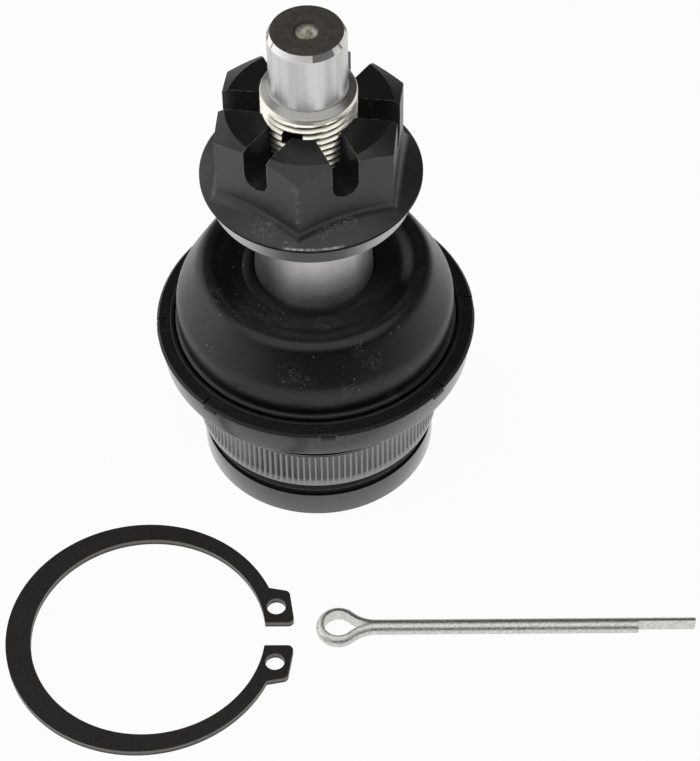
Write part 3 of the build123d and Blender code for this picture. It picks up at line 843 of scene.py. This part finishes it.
def pressed_steel():
    """Plain steel of the base cover and the spring."""
    paint = Finish("pressed_steel")
    grain = paint.noise(0.8, 4.0, 0.6)
    return paint.finished(
        Base_Color=paint.shades(grain, (0.22, 0.22, 0.215), (0.34, 0.34, 0.33)),
        Metallic=0.9, Roughness=paint.spread(grain, 0.35, 0.5),
        Normal=paint.bump(paint.turned(6.0), 0.2, 0.02),
    )


def seat_plastic():
    """Moulded plastic of the two seats."""
    paint = Finish("seat_plastic")
    grain = paint.noise(1.4, 4.0, 0.6)
    return paint.finished(
        Base_Color=paint.shades(grain, (0.55, 0.52, 0.44), (0.66, 0.63, 0.55)),
        Roughness=paint.spread(grain, 0.35, 0.5), Normal=paint.bump(grain, 0.1, 0.03),
    )


steel = housing_steel()
groove = groove_shade_black()
stud_steel = whole_stud()
rust = hole_brown()
phosphate = black_phosphate()
rubber = boot_rubber()
coat = black_coat()
oiled = oiled_spring_steel()
zinc = zinc_wire()
pressed = pressed_steel()
moulded = seat_plastic()


# ---------------------------------------------------------------- housing

def build_housing():
    """The pressed-in body as one mesh, with its groove, ribbed knurl, flange, collar and bore."""
    outline = rounded([
        (BASE_RADIUS, 0.0, 0.25), (BASE_RADIUS, GROOVE_BOTTOM, 0.15),
        (GROOVE_RADIUS, GROOVE_BOTTOM, 0.1), (GROOVE_RADIUS, GROOVE_TOP, 0.1),
        (BASE_RADIUS, GROOVE_TOP, 0.15), (BASE_RADIUS, KNURL_FOOT, 0.1),
        (25.4, KNURL_FOOT, 0.0), (25.75, 10.95, 0.0), (KNURL_RADIUS, KNURL_BOTTOM, 0.05),
        (KNURL_RADIUS, RIM_TOP, 0.0), (KNURL_RADIUS, RIB_BOTTOM, 0.0),
        (KNURL_RADIUS, RIB_TOP, 0.0), (KNURL_RADIUS, UPPER_RIM, 0.05),
        (25.7, KNURL_TOP, 0.05), (PRESS_NECK_RADIUS, KNURL_TOP, 0.05),
        (PRESS_NECK_RADIUS, FLANGE_BOTTOM, 0.9), (FLANGE_RADIUS, FLANGE_BOTTOM, 0.3),
        (FLANGE_RADIUS, FLANGE_TOP, 0.3), (COLLAR_FOOT_RADIUS, FLANGE_TOP, 0.1),
        (COLLAR_FOOT_RADIUS, 38.6, 0.1), (COLLAR_RADIUS, 39.0, 0.2),
        (COLLAR_RADIUS, COLLAR_TOP, 0.4), (MOUTH_TOP_RADIUS, COLLAR_TOP, 0.2),
        (MOUTH_RADIUS, MOUTH_BOTTOM, 0.1), (BORE_RADIUS, MOUTH_BOTTOM, 0.1),
        (BORE_RADIUS, COVER_TOP, 0.1), (COVER_RADIUS, COVER_TOP, 0.05),
        (COVER_RADIUS, LIP_TOP, 0.05), (LIP_RADIUS, LIP_TOP, 0.1), (LIP_RADIUS, 0.0, 0.2),
    ])
    steps = RIBS * RIB_STEPS
    rings = []
    for r, z in outline:
        depth = RIB_DEPTH if RIB_BOTTOM <= z <= RIB_TOP else 0.0
        rings.append([
            around(r - depth * RIB_SHAPE[step % RIB_STEPS], z, step, steps)
            for step in range(steps)
        ])
    return mend(skin("housing_shell", rings, steps, closed=True))


def paint_recess_shade(obj):
    """Second material, painted shade, in the groove and on the land over it, and on the neck over the
    knurl.
    """
    for face in obj.data.polygons:
        x, y, z = face.center / MM
        out = math.hypot(x, y)
        groove_lip = GROOVE_TOP < z < GROOVE_TOP + 0.3 and out > BASE_RADIUS - 0.1
        under_knurl = GROOVE_BOTTOM - 0.05 < z < KNURL_BOTTOM - 0.01 and out < KNURL_RADIUS - 0.03
        over_knurl = KNURL_TOP - 0.01 < z < FLANGE_BOTTOM and out < COLLAR_FOOT_RADIUS
        if out > OUTSIDE and (over_knurl or under_knurl and not groove_lip):
            face.material_index = 1


housing = build_housing()
soften(housing, HOUSING_CREASE)
dress(housing, steel, groove)
paint_recess_shade(housing)
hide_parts("housing")
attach(housing, "housing_body")


# ---------------------------------------------------------------- stud

def thread_radius(phase):
    """Radius along one pitch of the thread, from crest to root and back."""
    p = phase % 1.0
    p = min(p, 1 - p) * 2
    slope = (p - CREST_SHARE) / (ROOT_SHARE - CREST_SHARE)
    return CREST - (CREST - ROOT) * min(max(slope, 0.0), 1.0)


def thread_rings():
    """Rings of the thread as a real helix, which fades into the crest at its top."""
    total = int((THREAD_HIGH - THREAD_LOW) / PITCH * ROWS_PER_TURN)
    rings = []
    for i in range(1, total):
        z = THREAD_LOW + (THREAD_HIGH - THREAD_LOW) * i / total
        turns = (z - THREAD_LOW) / PITCH
        fade = min((THREAD_HIGH - z) / THREAD_FADE, 1.0)
        ring = []
        for step in range(STUD_SIDES):
            depth = CREST - thread_radius(turns - step / STUD_SIDES)
            ring.append(around(CREST - depth * fade, z, step, STUD_SIDES))
        rings.append(ring)
    return rings


def below_thread():
    """Outline of the ball, neck, shank, taper and relief.

    The flat's rounded end folds back on itself for 0.13 mm, hidden under the ball.
    """
    flat = rounded([(0.0, BALL_FLAT, 0), (FLAT_RADIUS, BALL_FLAT, 0.3)])
    angles = [math.radians(degrees) for degrees in range(-64, 56, 4)]
    ball = [(BALL_RADIUS * math.cos(a), BALL_CENTRE + BALL_RADIUS * math.sin(a)) for a in angles]
    flare = hermite([(NECK_RADIUS, NECK_TOP), (SHANK_RADIUS, SHANK_BOTTOM)], [(0, 1), (0, 1)], 12)
    taper = rounded([
        (SHANK_RADIUS, SHANK_TOP, 0), (TAPER_END_RADIUS, TAPER_TOP, 0.15),
        (RELIEF_RADIUS, TAPER_TOP, 0.2), (RELIEF_RADIUS, RELIEF_TOP, 0.2), (ROOT, THREAD_LOW, 0),
    ])
    return flat + ball + [(NECK_RADIUS, NECK_BOTTOM)] + flare + taper


def above_thread():
    """Outline of the chamfer, pilot, end and centre mark."""
    return rounded([
        (CREST, THREAD_HIGH, 0), (CHAMFER_RADIUS, CHAMFER_BOTTOM, 0.15),
        (PILOT_FOOT_RADIUS, PILOT_FOOT, 0.1), (PILOT_RADIUS, PILOT_BOTTOM, 0.1),
        (PILOT_RADIUS, PILOT_TOP, 0.15), (TIP_RADIUS, STUD_TOP, 0.1),
        (MARK_RADIUS, STUD_TOP, 0.15), (DRILL_RADIUS, MARK_BOTTOM, 0.1),
        (DRILL_RADIUS, DRILL_BOTTOM, 0.0), (0.0, DRILL_BOTTOM, 0.0),
    ])


def build_stud():
    """The whole stud as one mesh."""
    lower = [circle(r, z, STUD_SIDES) for r, z in below_thread()]
    upper = [circle(r, z, STUD_SIDES) for r, z in above_thread()]
    rings = lower + thread_rings() + upper
    return mend(skin("stud", rings, STUD_SIDES, closed=False), STUD_MERGE)


def cotter_hole():
    """A rod of the cotter hole's size, laid across the thread where the hole is."""
    outline = [(0, -HOLE_REACH), (HOLE_RADIUS, -HOLE_REACH), (HOLE_RADIUS, HOLE_REACH), (0, HOLE_REACH)]
    rod = lathe("hole_cutter", outline, HOLE_SIDES)
    dress(rod, rust)
    lift = Matrix.Translation((0, 0, HOLE_HEIGHT * MM))
    heading = Matrix.Rotation(math.radians(HOLE_ANGLE), 4, "Z")
    rod.data.transform(lift @ heading @ Matrix.Rotation(math.pi / 2, 4, "Y"))
    return rod


stud = build_stud()
dress(stud, stud_steel, rust)
cut_with(stud, cotter_hole())
soften(stud, STUD_CREASE)
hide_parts("ball_stud")
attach(stud, "stud_body")


# ---------------------------------------------------------------- dust boot

def build_boot():
    """The hollow boot: foot, dome and dished top outside, and back down the inside."""
    foot = [(26.1, 36.3), (29.5, 36.3), (29.6, 36.45), (29.6, 38.0), (29.45, 38.2), (29.1, 38.35)]
    dome = hermite(
        [(29.0, 38.5), (29.2, 40.5), (29.1, 43.4), (28.3, 46.0), (24.9, 52.2), (22.2, 54.0),
         (20.6, 53.8)],
        [(-0.1, 1), (0.05, 1), (-0.1, 1), (-0.52, 1), (-0.55, 1), (-1, 0.02), (-1, -0.35)], 6)
    dish = hermite(
        [(20.6, 53.8), (18.0, 52.6), (14.9, 52.5)], [(-1, -0.35), (-1, -0.25), (-1, 0.1)], 6)
    inside = hermite(
        [(14.6, 50.9), (18.0, 50.7), (21.6, 51.9), (23.2, 51.3), (26.5, 45.2), (27.2, 40.5)],
        [(1, -0.1), (1, 0.2), (1, 0.2), (0.6, -1), (0.5, -1), (0, -1)], 6)
    outline = foot + dome + dish[1:] + inside + [(26.9, 38.3), (26.1, 38.3)]
    return lathe("boot_dome", outline, BOOT_SIDES)


def build_sleeve():
    """The boot's sleeve and its lip round the shank."""
    outline = rounded([
        (12.65, 47.6, 0.2), (14.25, 47.6, 0.2), (14.25, 50.9, 0.2), (15.3, 51.4, 0.3),
        (15.3, 52.35, 0.2), (14.6, 52.62, 0.3), (13.2, 53.05, 0.5), (12.65, 52.75, 0.2),
    ])
    return lathe("boot_sleeve", outline, BOOT_SIDES)


boot = build_boot()
soften(boot, BOOT_CREASE)
dress(boot, rubber)
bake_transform(boot)
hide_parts("dust_boot")

sleeve = build_sleeve()
soften(sleeve, BOOT_CREASE)
dress(sleeve, rubber)
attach(sleeve, "neck_body")

# ---------------------------------------------------------------- pieces kept from the frame

edge_bevel(nodes["castle_nut"], NUT_BEVEL)
edge_bevel(nodes["boot_retainer"], RETAINER_BEVEL)

KEPT_PIECES = (
    ("castle_nut", phosphate), ("boot_retainer", coat), ("snap_ring", oiled),
    ("cotter_pin", zinc), ("base_cover", pressed), ("preload_spring", pressed),
    ("boot_neck_ring", oiled), ("lower_bearing", moulded), ("upper_bearing", moulded),
)
for kept_name, kept_finish in KEPT_PIECES:
    dress(nodes[kept_name], kept_finish)
